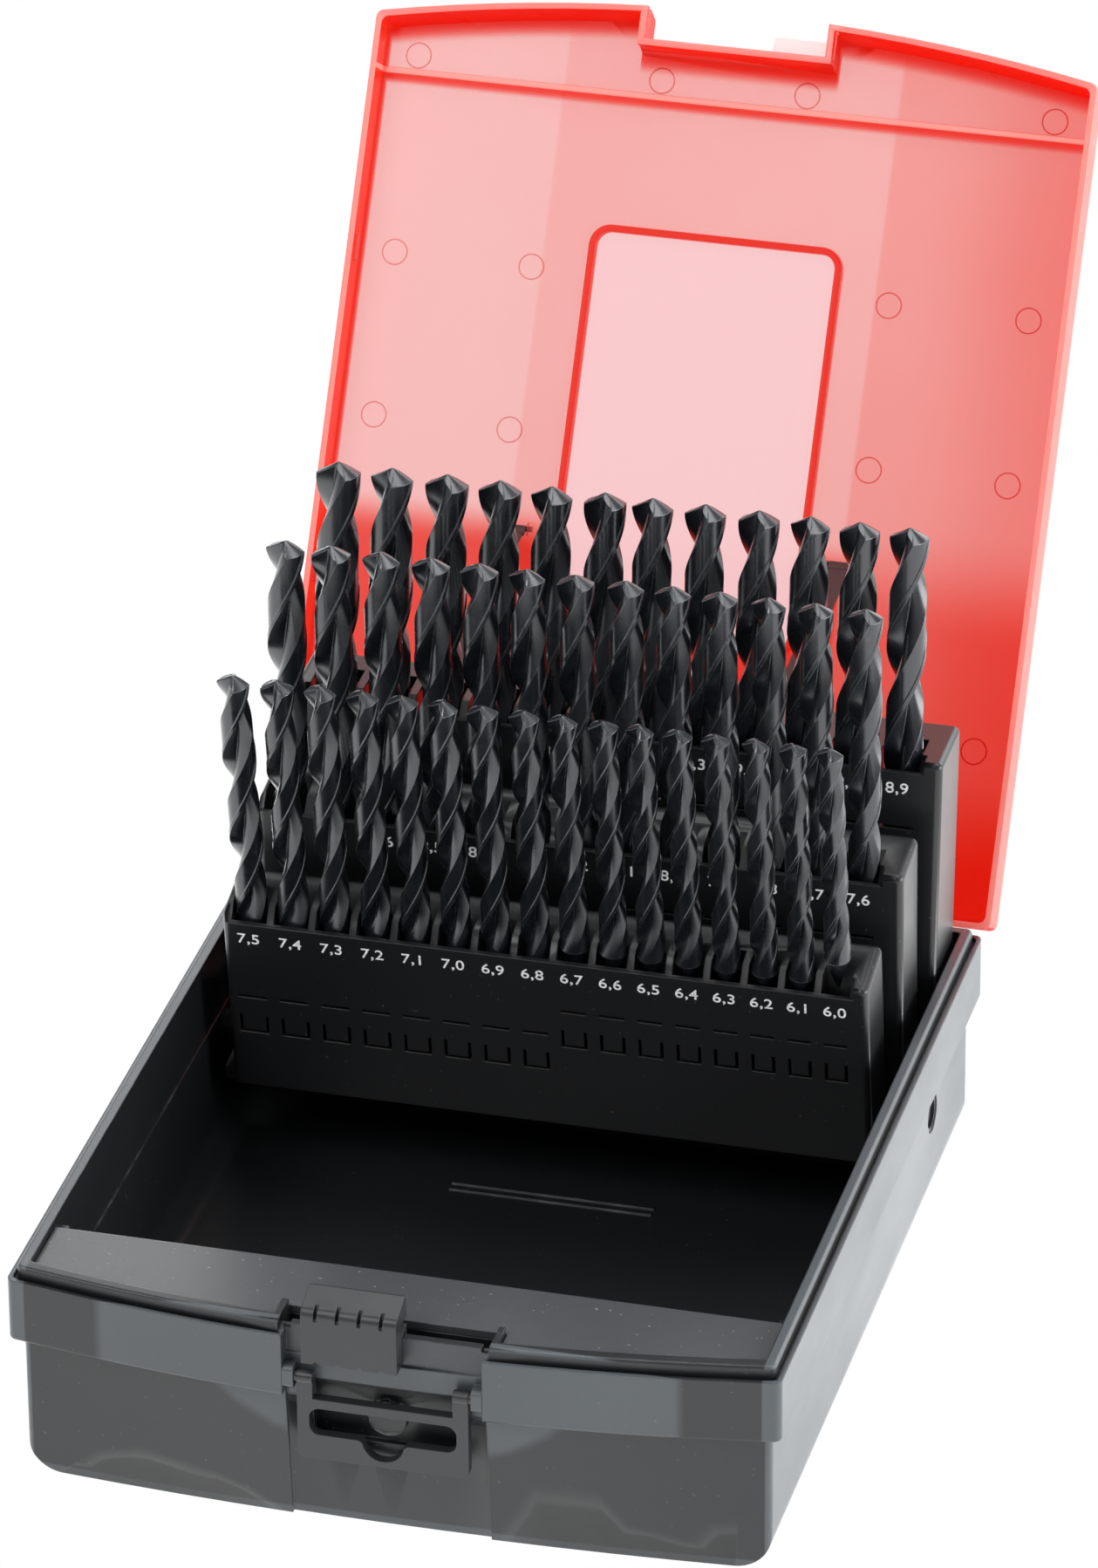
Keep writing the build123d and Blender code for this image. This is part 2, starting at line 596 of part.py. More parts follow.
def hang_tab():
    """Fold-out tab with a standard peg-hook slot."""
    y = TAB_Y
    plate = box_between((-TAB_HALF, y - 1.2, TAB_BOTTOM_Z), (TAB_HALF, y + 1.2, 33.4))
    plate = fillet(plate.edges().filter_by(Axis.Y), 1.6)
    for side in (-1, 1):
        inner, outer = sorted((side * (TAB_HALF - 3.4), side * TAB_HALF))
        arm = box_between((inner, y - 1.2, 30), (outer, y + 1.2, TAB_PIVOT_Z))
        plate += arm + rod_x(1.5, inner, outer, y, TAB_PIVOT_Z)
    opening = RectangleRounded(32.4, 6.6, 2.4) + Pos(0, -3.3) * Circle(4.6)
    opening = fillet(opening.vertices().filter_by_position(Axis.X, -5, 5), 1.4)
    plate -= Pos(0, y, 27.9) * Rot(X=90) * extrude(opening, 5, both=True)
    pins = rod_x(1.3, -TAB_HALF - 2.3, TAB_HALF + 2.3, y, TAB_PIVOT_Z)
    pins -= box_between((-TAB_HALF + 3, y - 3, 30), (TAB_HALF - 3, y + 3, 45))
    return plate + pins


# ---------------------------------------------------------------- drills

def drill(size, length):
    """A drill as its envelope: chamfered shank end, straight body, conical point."""
    radius = size / 2
    point = radius / math.tan(math.radians(POINT_ANGLE / 2))
    profile = Polyline(
        (0, 0), (radius - SHANK_CHAMFER, 0), (radius, SHANK_CHAMFER),
        (radius, length - point), (0, length), close=True)
    return revolve(Plane.XZ * make_face(profile), Axis.Z)


def write(name, shape):
    export_step(shape, f"parts/{name}.step")


def main():
    os.makedirs("parts", exist_ok=True)
    write("case_base", case_base())
    write("front_shelf", front_shelf())
    write("lid", lid())
    write("hinge_pins", hinge_pins())
    write("pivot_studs", pivot_studs())
    write("strap_left", strap(-1))
    write("strap_right", strap(1))
    write("latch_slider", latch_slider())
    write("hang_tab", hang_tab())
    for name in RACKS:
        write(f"rack_{name}", rack(name))
        if name in LINKED:
            write(f"fan_links_{name}", fan_links(name))
        for size, x, y, floor in pocket_row(name):
            body = Pos(x, y, floor + 0.05) * drill(size, drill_length(size))
            write(f"drill_{round(size * 10):03d}", place_rack(name, body))


main()
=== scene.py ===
import math

import bmesh
import bpy
from mathutils import Matrix, Vector

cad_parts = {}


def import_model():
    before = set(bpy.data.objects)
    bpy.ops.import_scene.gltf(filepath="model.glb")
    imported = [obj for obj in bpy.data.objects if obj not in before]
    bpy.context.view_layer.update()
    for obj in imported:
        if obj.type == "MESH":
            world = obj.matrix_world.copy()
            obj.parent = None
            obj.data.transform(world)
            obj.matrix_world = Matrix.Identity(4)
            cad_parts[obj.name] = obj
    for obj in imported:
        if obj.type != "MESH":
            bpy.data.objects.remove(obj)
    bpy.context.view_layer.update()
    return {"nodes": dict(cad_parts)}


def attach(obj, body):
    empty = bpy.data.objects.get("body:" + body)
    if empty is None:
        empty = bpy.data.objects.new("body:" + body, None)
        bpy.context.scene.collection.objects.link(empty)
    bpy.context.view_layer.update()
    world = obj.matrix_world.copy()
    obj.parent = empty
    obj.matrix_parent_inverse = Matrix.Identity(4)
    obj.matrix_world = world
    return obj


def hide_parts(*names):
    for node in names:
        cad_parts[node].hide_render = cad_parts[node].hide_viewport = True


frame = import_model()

nodes = frame["nodes"]
MM = 0.001

# ---------------------------------------------------------------- layout, in millimetres

AXLE = (58.6, 23.7)             # y and z of the studs the racks turn on
HINGE = (100.0, 45.0)           # y and z of the lid's hinge
LID_OPEN = 121.7                # degrees
ROW_LENGTH = 143.3              # of a row of pockets
POCKET_FRONT = 1.6              # from a rack's front face to its drills
SEAT_GAP = 0.05                 # under a seated drill
POCKET_ROOM = 0.25              # between a drill and its pocket's walls
# forward lean, front face, lip height, middle of the row, shown length, first and last
# drill in tenths of a millimetre
RACKS = {
    "front": (8.0, -20.7, 46.0, -1.7, 64.9, 75, 60),
    "middle": (1.5, -4.7, 60.4, -0.1, 66.8, 88, 76),
    "back": (-5.0, 11.8, 77.0, 3.4, 56.4, 100, 89),
}
# how far each drill's point leans to the right in its pocket
LEANS = {
    "front": (-1.1, -0.6, -0.2, 0.1, -0.4, -0.4, -0.6, -0.2,
              -0.5, -0.1, -0.8, -0.9, -1.0, -0.4, -0.4, -0.5),
    "middle": (1.3, -0.4, -0.4, -0.3, -0.6, -1.0, -1.0, -0.5, -0.8, -1.0, -0.6, -0.5, 0.4),
    "back": (0.3, 0.3, 1.0, 1.2, 0.5, 0.8, -0.7, -0.4, 0.3, 0.4, -0.1, -0.3),
}

# largest diameter, overall length, flute length
DRILL_SIZES = (
    (6.0, 93.0, 57.0), (6.7, 101.0, 63.0), (7.5, 109.0, 69.0),
    (8.5, 117.0, 75.0), (9.5, 125.0, 81.0), (10.0, 133.0, 87.0))
HELIX = 28                      # degrees between a flute and the drill's axis
POINT_HALF_ANGLE = 61           # degrees
CUTTING_EDGE = 76               # degrees round the section, where a land meets its flute
HEEL = 108                      # degrees round the section, where the flute's back starts
WEB = 0.16                      # core left between the flutes, as a share of the radius
CLEARANCE = 0.055               # how far a land's back is relieved, as a share of the radius
RING_SPACING = 1.1              # between the mesh's rings along the flutes

NUMBER_HEIGHT = 2.7
NUMBER_WIDER = 1.14
NUMBER_DROP = 4.0               # from a rack's lip to the middle of its numbers
NUMBER_PROUD = 0.02             # how far the numbers stand out of the rack's face

LID_INSIDE = 57.2               # height of the closed lid's inner face
MARK_SHIFT = -0.5               # of all the ejector marks, in x
MARKS = ((75.3, -88.3), (17.2, -88.3), (75, -42.4), (42.3, -42.4),
         (75, -4.4), (42.5, -4.4), (75, 56.7), (42, 56.7))
# radius and height above the lid's inner face, round a mark's section
MARK_SECTION = ((2.75, 0.05), (2.85, -0.10), (3.0, -0.10), (3.1, 0.05))

BOW = 1.107                     # in metres, the front moves back by this times x squared


def drill_size(diameter):
    """Overall length and flute length of a drill."""
    for limit, length, flutes in DRILL_SIZES:
        if diameter <= limit + 0.001:
            return length, flutes
    return DRILL_SIZES[-1][1:]


def pocket_row(name):
    """(diameter, x, y, height of the point) for each drill, left to right."""
    _, face, lip, middle, shown, first, last = RACKS[name]
    sizes = [tenth / 10 for tenth in range(first, last - 1, -1)]
    spare = (ROW_LENGTH - sum(sizes)) / len(sizes)
    places = []
    x = middle - ROW_LENGTH / 2
    for size in sizes:
        x += (size + spare) / 2
        places.append((size, x, face + POCKET_FRONT + size / 2, lip + shown + SEAT_GAP))
        x += (size + spare) / 2
    return places


def rack_matrix(name):
    """From upright rack coordinates in millimetres to the row frame in metres."""
    lean = math.radians(RACKS[name][0])
    return (Matrix.Scale(MM, 4) @ Matrix.Translation((0, AXLE[0], AXLE[1]))
            @ Matrix.Rotation(lean, 4, "X"))


def lid_matrix():
    """From closed-lid coordinates in millimetres to the row frame in metres."""
    return (Matrix.Scale(MM, 4) @ Matrix.Translation((0, HINGE[0], HINGE[1]))
            @ Matrix.Rotation(math.radians(-LID_OPEN), 4, "X")
            @ Matrix.Translation((0, -HINGE[0], -HINGE[1])))


# ---------------------------------------------------------------- material helpers

class Shader:
    """Short names for building one material's nodes. Lengths are in metres."""

    def __init__(self, name):
        self.material = bpy.data.materials.new(name)
        self.material.use_nodes = True
        self.tree = self.material.node_tree
        self.tree.nodes.clear()
        self.output = self.tree.nodes.new("ShaderNodeOutputMaterial")
        self.coords = self.tree.nodes.new("ShaderNodeTexCoord").outputs["Object"]

    def node(self, kind, **settings):
        made = self.tree.nodes.new("ShaderNode" + kind)
        for key, value in settings.items():
            setattr(made, key, value)
        return made

    def put(self, value, socket):
        """Link an output, or set a plain value."""
        if isinstance(value, bpy.types.NodeSocket):
            self.tree.links.new(value, socket)
        elif hasattr(value, "__len__") and len(value) == 3 and len(socket.default_value) == 4:
            socket.default_value = (*value, 1.0)
        else:
            socket.default_value = value

    def math(self, operation, a, b=0.0, clamp=False):
        made = self.node("Math", operation=operation, use_clamp=clamp)
        self.put(a, made.inputs[0])
        self.put(b, made.inputs[1])
        return made.outputs[0]

    def times(self, first, *others):
        """The product of several values."""
        for other in others:
            first = self.math("MULTIPLY", first, other)
        return first

    def plus(self, first, *others):
        """The sum of several values."""
        for other in others:
            first = self.math("ADD", first, other)
        return first

    def most(self, first, *others):
        """The largest of several values."""
        for other in others:
            first = self.math("MAXIMUM", first, other)
        return first

    def inverse(self, mask):
        return self.math("SUBTRACT", 1.0, mask)

    def split(self, vector):
        made = self.node("SeparateXYZ")
        self.put(vector, made.inputs[0])
        return made.outputs

    def noise(self, scale, detail=3.0, roughness=0.55, stretch=None):
        made = self.node("TexNoise")
        made.inputs["Scale"].default_value = scale
        made.inputs["Detail"].default_value = detail
        made.inputs["Roughness"].default_value = roughness
        coords = self.coords
        if stretch:
            mapping = self.node("Mapping")
            self.put(coords, mapping.inputs["Vector"])
            mapping.inputs["Scale"].default_value = stretch
            coords = mapping.outputs["Vector"]
        self.put(coords, made.inputs["Vector"])
        return made.outputs["Fac"]

    def ramp(self, factor, low, high, low_out=0.0, high_out=1.0):
        """A smooth step from low_out at low to high_out at high."""
        made = self.node("MapRange", interpolation_type="SMOOTHSTEP")
        for value, socket in zip((factor, low, high, low_out, high_out), made.inputs):
            self.put(value, socket)
        return made.outputs["Result"]

    def mix(self, factor, a, b):
        made = self.node("Mix", data_type="RGBA")
        self.put(factor, made.inputs[0])
        self.put(a, made.inputs[6])
        self.put(b, made.inputs[7])
        return made.outputs[2]

    def bump(self, height, strength, distance, normal=None):
        made = self.node("Bump")
        made.inputs["Strength"].default_value = strength
        made.inputs["Distance"].default_value = distance
        self.put(height, made.inputs["Height"])
        if normal:
            self.put(normal, made.inputs["Normal"])
        return made.outputs["Normal"]

    def bevel(self, radius):
        made = self.node("Bevel", samples=4)
        made.inputs["Radius"].default_value = radius
        return made.outputs["Normal"]

    def edges(self, soft, slight, full):
        """0 on flat faces, 1 where the rounded normal turns away from the true one."""
        agree = self.node("VectorMath", operation="DOT_PRODUCT")
        self.put(soft, agree.inputs[0])
        self.put(self.node("NewGeometry").outputs["Normal"], agree.inputs[1])
        return self.ramp(agree.outputs["Value"], slight, full)

    def blend(self, factor, a, b):
        """Mix two shaders."""
        made = self.node("MixShader")
        self.put(factor, made.inputs[0])
        self.put(a.outputs[0], made.inputs[1])
        self.put(b.outputs[0], made.inputs[2])
        return made

    def surface(self, shader):
        self.put(shader.outputs[0], self.output.inputs["Surface"])
        return self.material


def brighter(colour, factor, more):
    return tuple(min(1.0, c * factor + more) for c in colour)


# ---------------------------------------------------------------- plastics

def plastic(name, colour, roughness, grain,
            bevel=0.0004, wear_and_glint=0.03, dust=0.0, inner=None, ior=1.5):
    """Moulded plastic: uneven tone, fine grain, edges lighter from wear and painted glint, optional
    painted shade and a few specks of dust.
    """
    s = Shader(name)
    base = s.mix(s.noise(18.0, 4.0), tuple(c * 0.86 for c in colour), brighter(colour, 1.18, 0.002))
    # painted shade: where the mask is 1 the colour drops to 16 per cent of itself
    if inner:
        base = s.mix(inner(s), base, tuple(c * 0.16 for c in colour))
    soft = s.bevel(bevel)
    # lighter along rounded edges, in patches: part wear, part painted glint
    patchy = s.ramp(s.noise(140.0, 3.0), 0.42, 0.7)
    edge_wear_and_glint = s.times(s.edges(soft, 0.995, 0.9), patchy, 0.35)
    base = s.mix(edge_wear_and_glint, base, brighter(colour, 2.2, wear_and_glint))
    if dust:
        specks = s.ramp(s.noise(1300.0, 0.0), 0.825, 0.86, 0.0, dust)
        base = s.mix(specks, base, (0.22, 0.22, 0.22))
    shader = s.node("BsdfPrincipled")
    s.put(base, shader.inputs["Base Color"])
    smear = s.noise(7.0, 5.0, 0.6, (1.0, 1.0, 2.6))
    gloss = s.ramp(smear, 0.3, 0.75, roughness * 0.82, roughness * 1.22)
    s.put(gloss, shader.inputs["Roughness"])
    shader.inputs["IOR"].default_value = ior
    fine = s.noise(2600.0, 2.0)
    s.put(s.bump(fine, grain, 0.00012, soft), shader.inputs["Normal"])
    return s.surface(shader)


def painted_shade_parts(s):
    """1 where shade is painted: inside the case's cavity, on the outer face of its tongue, and
    as a painted shadow in the hollow behind the hang tab, darker towards the bottom; 0 elsewhere."""
    signed, y, z = s.split(s.coords)
    x = s.math("ABSOLUTE", signed)
    # painted shade inside the cavity, where little light reaches
    cavity = s.times(
        s.ramp(x, 0.0812, 0.0808), s.ramp(y, 0.0932, 0.0928),
        s.ramp(y, -0.1007, -0.1003), s.ramp(z, 0.0015, 0.0021))
    bowed_front = s.math("SUBTRACT", 0.105, s.times(x, x, BOW))
    inset = s.math("MINIMUM", s.math("SUBTRACT", 0.085, x), s.math("ADD", y, bowed_front))
    # painted shade on the tongue's outer face
    tongue = s.times(
        s.ramp(inset, 0.00092, 0.00102), s.ramp(z, 0.0508, 0.0503),
        s.ramp(z, 0.0471, 0.0473), s.ramp(x, 0.0222, 0.0230))
    # a round spot behind the tab's slot where the painted shadow is lifted
    above_boss = s.math("POWER", s.math("SUBTRACT", z, 0.0284), 2.0)
    from_boss = s.math("SQRT", s.math("ADD", s.times(x, x), above_boss))
    boss = s.times(s.ramp(from_boss, 0.0045, 0.0030), s.ramp(z, 0.0318, 0.0296))
    # painted shadow of the slider and tab on the panel behind the tab, deepening towards the bottom
    hollow = s.times(
        s.ramp(x, 0.0166, 0.0160), s.ramp(z, 0.0368, 0.0335, 0.0, 0.9),
        s.ramp(z, 0.0218, 0.0221), s.ramp(y, -0.10045, -0.10035), s.inverse(boss))
    return s.most(cavity, tongue, hollow)


# ---------------------------------------------------------------- the lid's red

def lid_axes(s):
    """x, y and z of the closed lid."""
    turn = s.node("VectorRotate", rotation_type="X_AXIS")
    s.put(s.coords, turn.inputs["Vector"])
    turn.inputs["Center"].default_value = (0, HINGE[0] * MM, HINGE[1] * MM)
    turn.inputs["Angle"].default_value = math.radians(LID_OPEN)
    return s.split(turn.outputs["Vector"])


def lid_window(s, across, y):
    """Masks of the window, with its rounded outline, and of the frame round it."""
    dx = s.most(s.math("SUBTRACT", across, 0.0248), 0.0)
    along = s.math("ABSOLUTE", s.math("ADD", y, 0.0067))
    dy = s.most(s.math("SUBTRACT", along, 0.0423), 0.0)
    reach = s.math("SQRT", s.math("ADD", s.times(dx, dx), s.times(dy, dy)))
    window = s.ramp(reach, 0.0040, 0.0034)
    ring = s.times(s.ramp(reach, 0.0033, 0.0037), s.ramp(reach, 0.0053, 0.0049))
    return window, ring


def lid_depth(s, x, y):
    """How deep the red is: soft blotches, upright bands, and painted shade making it deeper next to
    the hinge.
    """
    right = s.ramp(x, 0.0380, 0.0386)
    # painted shade: deeper red low on the lid, towards the hinge, where less light comes through
    low_left = s.times(s.inverse(right), s.ramp(y, 0.012, 0.023, 0.0, 0.75))
    low_right = s.times(right, s.ramp(y, 0.006, 0.034, 0.0, 0.40))
    # the last term adds more painted shade right at the hinge
    even = s.plus(
        s.ramp(x, 0.0380, 0.0386, 0.0, 0.15), s.ramp(x, -0.0409, -0.0403, 0.0, 0.10),
        s.ramp(x, 0.045, 0.082, 0.0, 0.16), s.plus(low_left, low_right),
        s.ramp(y, 0.060, 0.088, 0.0, 0.20))
    blotch = s.times(s.math("SUBTRACT", s.noise(14.0, 4.0), 0.5), 0.14)
    return s.math("ADD", even, blotch, clamp=True)


def lid_walls(s, x, y, across, in_notch, ring):
    """The skirts' inner faces, the window's frame and the foot of the rib."""
    bow = s.math("SUBTRACT", 0.008, s.times(x, x, BOW))
    from_front = s.plus(y, 0.097, bow)
    from_notch = s.math("ADD", y, 0.0968)
    from_edge = s.plus(s.times(in_notch, from_notch), s.times(s.inverse(in_notch), from_front))
    rib_foot = s.times(s.ramp(y, -0.0839, -0.0836), s.ramp(y, -0.0812, -0.0830), 0.95)
    return s.most(
        s.ramp(across, 0.0828, 0.0835), ring, s.ramp(y, 0.0945, 0.0955),
        s.ramp(from_edge, 0.0074, 0.0036), rib_foot)


def lid_painted_highlights(s, y, z, across):
    """Painted highlight on the rim, the outer faces and the rib's crest, where they catch the
    light.
    """
    from_crest = s.math("ABSOLUTE", s.math("ADD", y, 0.0844))
    return s.most(
        s.ramp(z, 0.04925, 0.04895), s.ramp(across, 0.0843, 0.0847),
        s.times(s.ramp(from_crest, 0.0007, 0.0005), 0.9))


def lid_red(name):
    """Translucent red: pale where it is one wall thick, deep along the skirts' inner
    faces and the window's frame, with painted shade next to the hinge and a painted
    highlight where its rim catches the light."""
    s = Shader(name)
    x, y, z = lid_axes(s)
    across = s.math("ABSOLUTE", x)
    window, ring = lid_window(s, across, y)
    depth = lid_depth(s, x, y)
    in_notch = s.math("LESS_THAN", across, 0.0232)
    wall = lid_walls(s, x, y, across, in_notch, ring)
    light = lid_painted_highlights(s, y, z, across)
    # the catch is thin and nearly clear
    clear = s.times(
        s.ramp(z, 0.0509, 0.0512), s.ramp(z, 0.0531, 0.0528),
        s.ramp(y, -0.0964, -0.0970), in_notch)

    # the colour of the light that goes straight through, and of the light that scatters
    tint = s.mix(depth, (0.95, 0.765, 0.755), (0.95, 0.13, 0.07))
    tint = s.mix(window, tint, (0.985, 0.80, 0.81))
    body = s.mix(depth, (0.88, 0.50, 0.49), (0.72, 0.035, 0.028))
    body = s.mix(s.times(window, 0.7), body, (0.96, 0.62, 0.62))
    # masks over the base red: deep walls, painted highlight on the rim and crest, the nearly clear
    # catch
    for mask, through_colour, scatter_colour in (
            (wall, (0.84, 0.095, 0.05), (0.82, 0.045, 0.022)),
            (light, (1.0, 0.66, 0.61), (1.0, 0.50, 0.45)),
            (clear, (1.0, 0.93, 0.93), (1.0, 0.85, 0.85))):
        tint = s.mix(mask, tint, through_colour)
        body = s.mix(mask, body, scatter_colour)

    through = s.node("BsdfTransparent")
    s.put(tint, through.inputs["Color"])
    scatter = s.node("BsdfPrincipled")
    s.put(body, scatter.inputs["Base Color"])
    smear = s.noise(5.0, 5.0, 0.65, (1.0, 2.4, 2.4))
    s.put(s.ramp(smear, 0.35, 0.7, 0.24, 0.42), scatter.inputs["Roughness"])
    normal = s.bump(s.noise(1500.0, 2.0), 0.25, 0.0001, s.bevel(0.0005))
    s.put(normal, scatter.inputs["Normal"])
    glow = s.node("BsdfTranslucent")
    s.put(body, glow.inputs["Color"])

    solid = s.plus(s.times(wall, 0.42), 0.30)
    solid = s.math("SUBTRACT", solid, s.times(window, 0.16))
    solid = s.plus(solid, s.times(light, 0.10))
    solid = s.times(solid, s.inverse(s.times(clear, 0.7)))
    return s.surface(s.blend(solid, through, s.blend(0.55, scatter, glow)))


# ---------------------------------------------------------------- steel and labels

def steel_black(name):
    """Black oxide on ground steel, lighter on the land edges: part wear, part painted highlight."""
    s = Shader(name)
    base = s.mix(s.noise(160.0, 4.0), (0.007, 0.009, 0.012), (0.017, 0.021, 0.027))
    patches = s.ramp(s.noise(420.0, 2.0), 0.62, 0.78, 0.0, 0.3)
    base = s.mix(patches, base, (0.055, 0.062, 0.073))
    soft = s.bevel(0.00018)
    uneven = s.ramp(s.noise(300.0, 3.0), 0.35, 0.65, 0.25, 0.8)
    # lighter land edges, in patches: part wear, part painted highlight
    base = s.mix(s.times(s.edges(soft, 0.99, 0.86), uneven), base, (0.34, 0.36, 0.39))
    shader = s.node("BsdfPrincipled")
    s.put(base, shader.inputs["Base Color"])
    shader.inputs["Metallic"].default_value = 0.35
    shader.inputs["IOR"].default_value = 1.9
    s.put(s.ramp(s.noise(90.0, 3.0), 0.3, 0.7, 0.20, 0.34), shader.inputs["Roughness"])
    grind = s.noise(700.0, 3.0, 0.6, (1.0, 1.0, 7.0))
    s.put(s.bump(grind, 0.25, 0.00006, soft), shader.inputs["Normal"])
    return s.surface(shader)


def steel_plain(name):
    """Ground steel, for the hinge pins."""
    s = Shader(name)
    shader = s.node("BsdfPrincipled")
    base = s.mix(s.noise(60.0), (0.42, 0.42, 0.43), (0.62, 0.62, 0.63))
    s.put(base, shader.inputs["Base Color"])
    shader.inputs["Metallic"].default_value = 1.0
    s.put(s.ramp(s.noise(240.0), 0.3, 0.7, 0.25, 0.45), shader.inputs["Roughness"])
    s.put(s.bump(s.noise(900.0), 0.15, 0.00005), shader.inputs["Normal"])
    return s.surface(shader)


def label_white(name):
    """White printing, a little uneven, with a faint painted glow so that it reads in the racks'
    shadow.
    """
    s = Shader(name)
    shader = s.node("BsdfPrincipled")
    patchy = s.ramp(s.noise(1500.0, 2.0), 0.35, 0.65)
    s.put(s.mix(patchy, (0.5, 0.5, 0.5), (0.9, 0.9, 0.9)), shader.inputs["Base Color"])
    s.put(s.ramp(s.noise(500.0), 0.3, 0.7, 0.45, 0.65), shader.inputs["Roughness"])
    s.put(s.bump(s.noise(2500.0), 0.2, 0.00004), shader.inputs["Normal"])
    # painted light: the print glows faintly, though it is no lamp
    s.put((0.8, 0.8, 0.8), shader.inputs["Emission Color"])
    shader.inputs["Emission Strength"].default_value = 0.25
    return s.surface(shader)


# ---------------------------------------------------------------- mesh helpers

def add_mesh(name, points, faces, material, smooth_angle):
    """A new object, smooth except at edges sharper than smooth_angle degrees."""
    mesh = bpy.data.meshes.new(name)
    mesh.from_pydata(points, [], faces)
    mesh.validate()
    mesh.update()
    made = bpy.data.objects.new(name, mesh)
    bpy.context.scene.collection.objects.link(made)
    mesh.materials.append(material)
    for face in mesh.polygons:
        face.use_smooth = True
    mesh.set_sharp_from_angle(angle=math.radians(smooth_angle))
    return made


def place(made, matrix, body):
    """Bake a matrix into a piece's mesh and let it ride on a body."""
    made.data.transform(matrix)
    made.data.update()
    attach(made, body)
    return made


def join(pieces, name):
    """Make one object of several."""
    bpy.ops.object.select_all(action="DESELECT")
    for piece in pieces:
        piece.select_set(True)
    bpy.context.view_layer.objects.active = pieces[0]
    bpy.ops.object.join()
    pieces[0].name = name
    return pieces[0]


# ---------------------------------------------------------------- moulded pieces

# the case's grey, with painted shade inside the cavity, on the tongue and behind the tab
CASE_GREY = plastic("case_grey", (0.068, 0.079, 0.088), 0.36, 0.18,
                    bevel=0.0005, dust=0.25, inner=painted_shade_parts)
SHELF_GREY = plastic("shelf_grey", (0.056, 0.060, 0.064), 0.31, 0.12, dust=0.9)
RACK_BLACK = plastic("rack_black", (0.012, 0.0125, 0.014), 0.34, 0.15, wear_and_glint=0.04, dust=0.25)
PART_BLACK = plastic("part_black", (0.021, 0.0225, 0.025), 0.36, 0.12,
                     bevel=0.0003, wear_and_glint=0.04, dust=0.2)
STRAP_BROWN = plastic("strap_brown", (0.060, 0.030, 0.029), 0.55, 0.1, bevel=0.0002, ior=1.2)
LINK_GREY = plastic("link_grey", (0.30, 0.30, 0.31), 0.4, 0.1, bevel=0.0002)
DRILL_BLACK = steel_black("drill_black")
STEEL = steel_plain("pin_steel")
WHITE = label_white("label_white")
LID_RED = lid_red("lid_red")

# node: material, body, material slot
MOULDED = {
    "case_base": (CASE_GREY, "case", "case_grey"),
    "front_shelf": (SHELF_GREY, "case", "case_grey"),
    "lid": (LID_RED, "lid", "lid_red"),
    "hinge_pins": (STEEL, "case", "steel"),
    "pivot_studs": (PART_BLACK, "case", "pivot_black"),
    "strap_left": (STRAP_BROWN, "straps", "strap_brown"),
    "strap_right": (STRAP_BROWN, "straps", "strap_brown"),
    "latch_slider": (PART_BLACK, "latch", "slider_black"),
    "hang_tab": (PART_BLACK, "hanger", "slider_black"),
    "rack_front": (RACK_BLACK, "rack_front", "rack_black"),
    "rack_middle": (RACK_BLACK, "rack_middle", "rack_black"),
    "rack_back": (RACK_BLACK, "rack_back", "rack_black"),
    "fan_links_front": (LINK_GREY, "links_front", "link_grey"),
    "fan_links_middle": (LINK_GREY, "links_middle", "link_grey"),
}
WELD = 0.000002                 # metres
FLAT_ANGLE = 0.03               # degrees, faces that meet at less become one
SHARP_ANGLE = 24                # degrees, edges that turn more stay sharp


def moulded_copy(node, material, body):
    """The node's own shape with its seams welded, so that curved faces shade smoothly."""
    mesh = nodes[node].data.copy()
    mesh.transform(nodes[node].matrix_world)
    mesh.materials.clear()
    mesh.materials.append(material)
    work = bmesh.new()
    work.from_mesh(mesh)
    bmesh.ops.remove_doubles(work, verts=work.verts, dist=WELD)
    bmesh.ops.dissolve_limit(
        work, angle_limit=math.radians(FLAT_ANGLE), verts=work.verts, edges=work.edges)
    for face in work.faces:
        face.smooth = True
        face.material_index = 0
    work.to_mesh(mesh)
    work.free()
    mesh.set_sharp_from_angle(angle=math.radians(SHARP_ANGLE))
    made = bpy.data.objects.new(f"{node}_shell", mesh)
    bpy.context.scene.collection.objects.link(made)
    even = made.modifiers.new("even", "WEIGHTED_NORMAL")
    even.mode = "FACE_AREA"
    even.keep_sharp = True
    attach(made, body)
    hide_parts(node)


for node, (material, body, slot) in MOULDED.items():
    moulded_copy(node, material, body)


# ---------------------------------------------------------------- drills

def flute_section(depth):
    """Half of a drill's cross-section as (angle, share of the radius). At depth 0 it is a
    plain round shank, at depth 1 it has a relieved land, its margin and a full flute."""
    section = [(angle, 1.0 - CLEARANCE * depth) for angle in (0, 11, 22, 33, 44, 54, 61)]
    section += [(angle, 1.0) for angle in (64, 70, CUTTING_EDGE)]
    for angle in (77, 79, 82, 86, 91, 97, 104, 112, 121, 131, 142, 153, 164, 173):
        lip = WEB / math.sin(math.radians(angle - CUTTING_EDGE) + math.asin(WEB))
        back = max(0.0, (angle - HEEL) / (180 - HEEL)) ** 1.5
        heel = WEB + (1.0 - CLEARANCE - WEB) * back
        section.append((angle, 1.0 - depth * (1.0 - min(1.0, max(lip, heel)))))
    return section


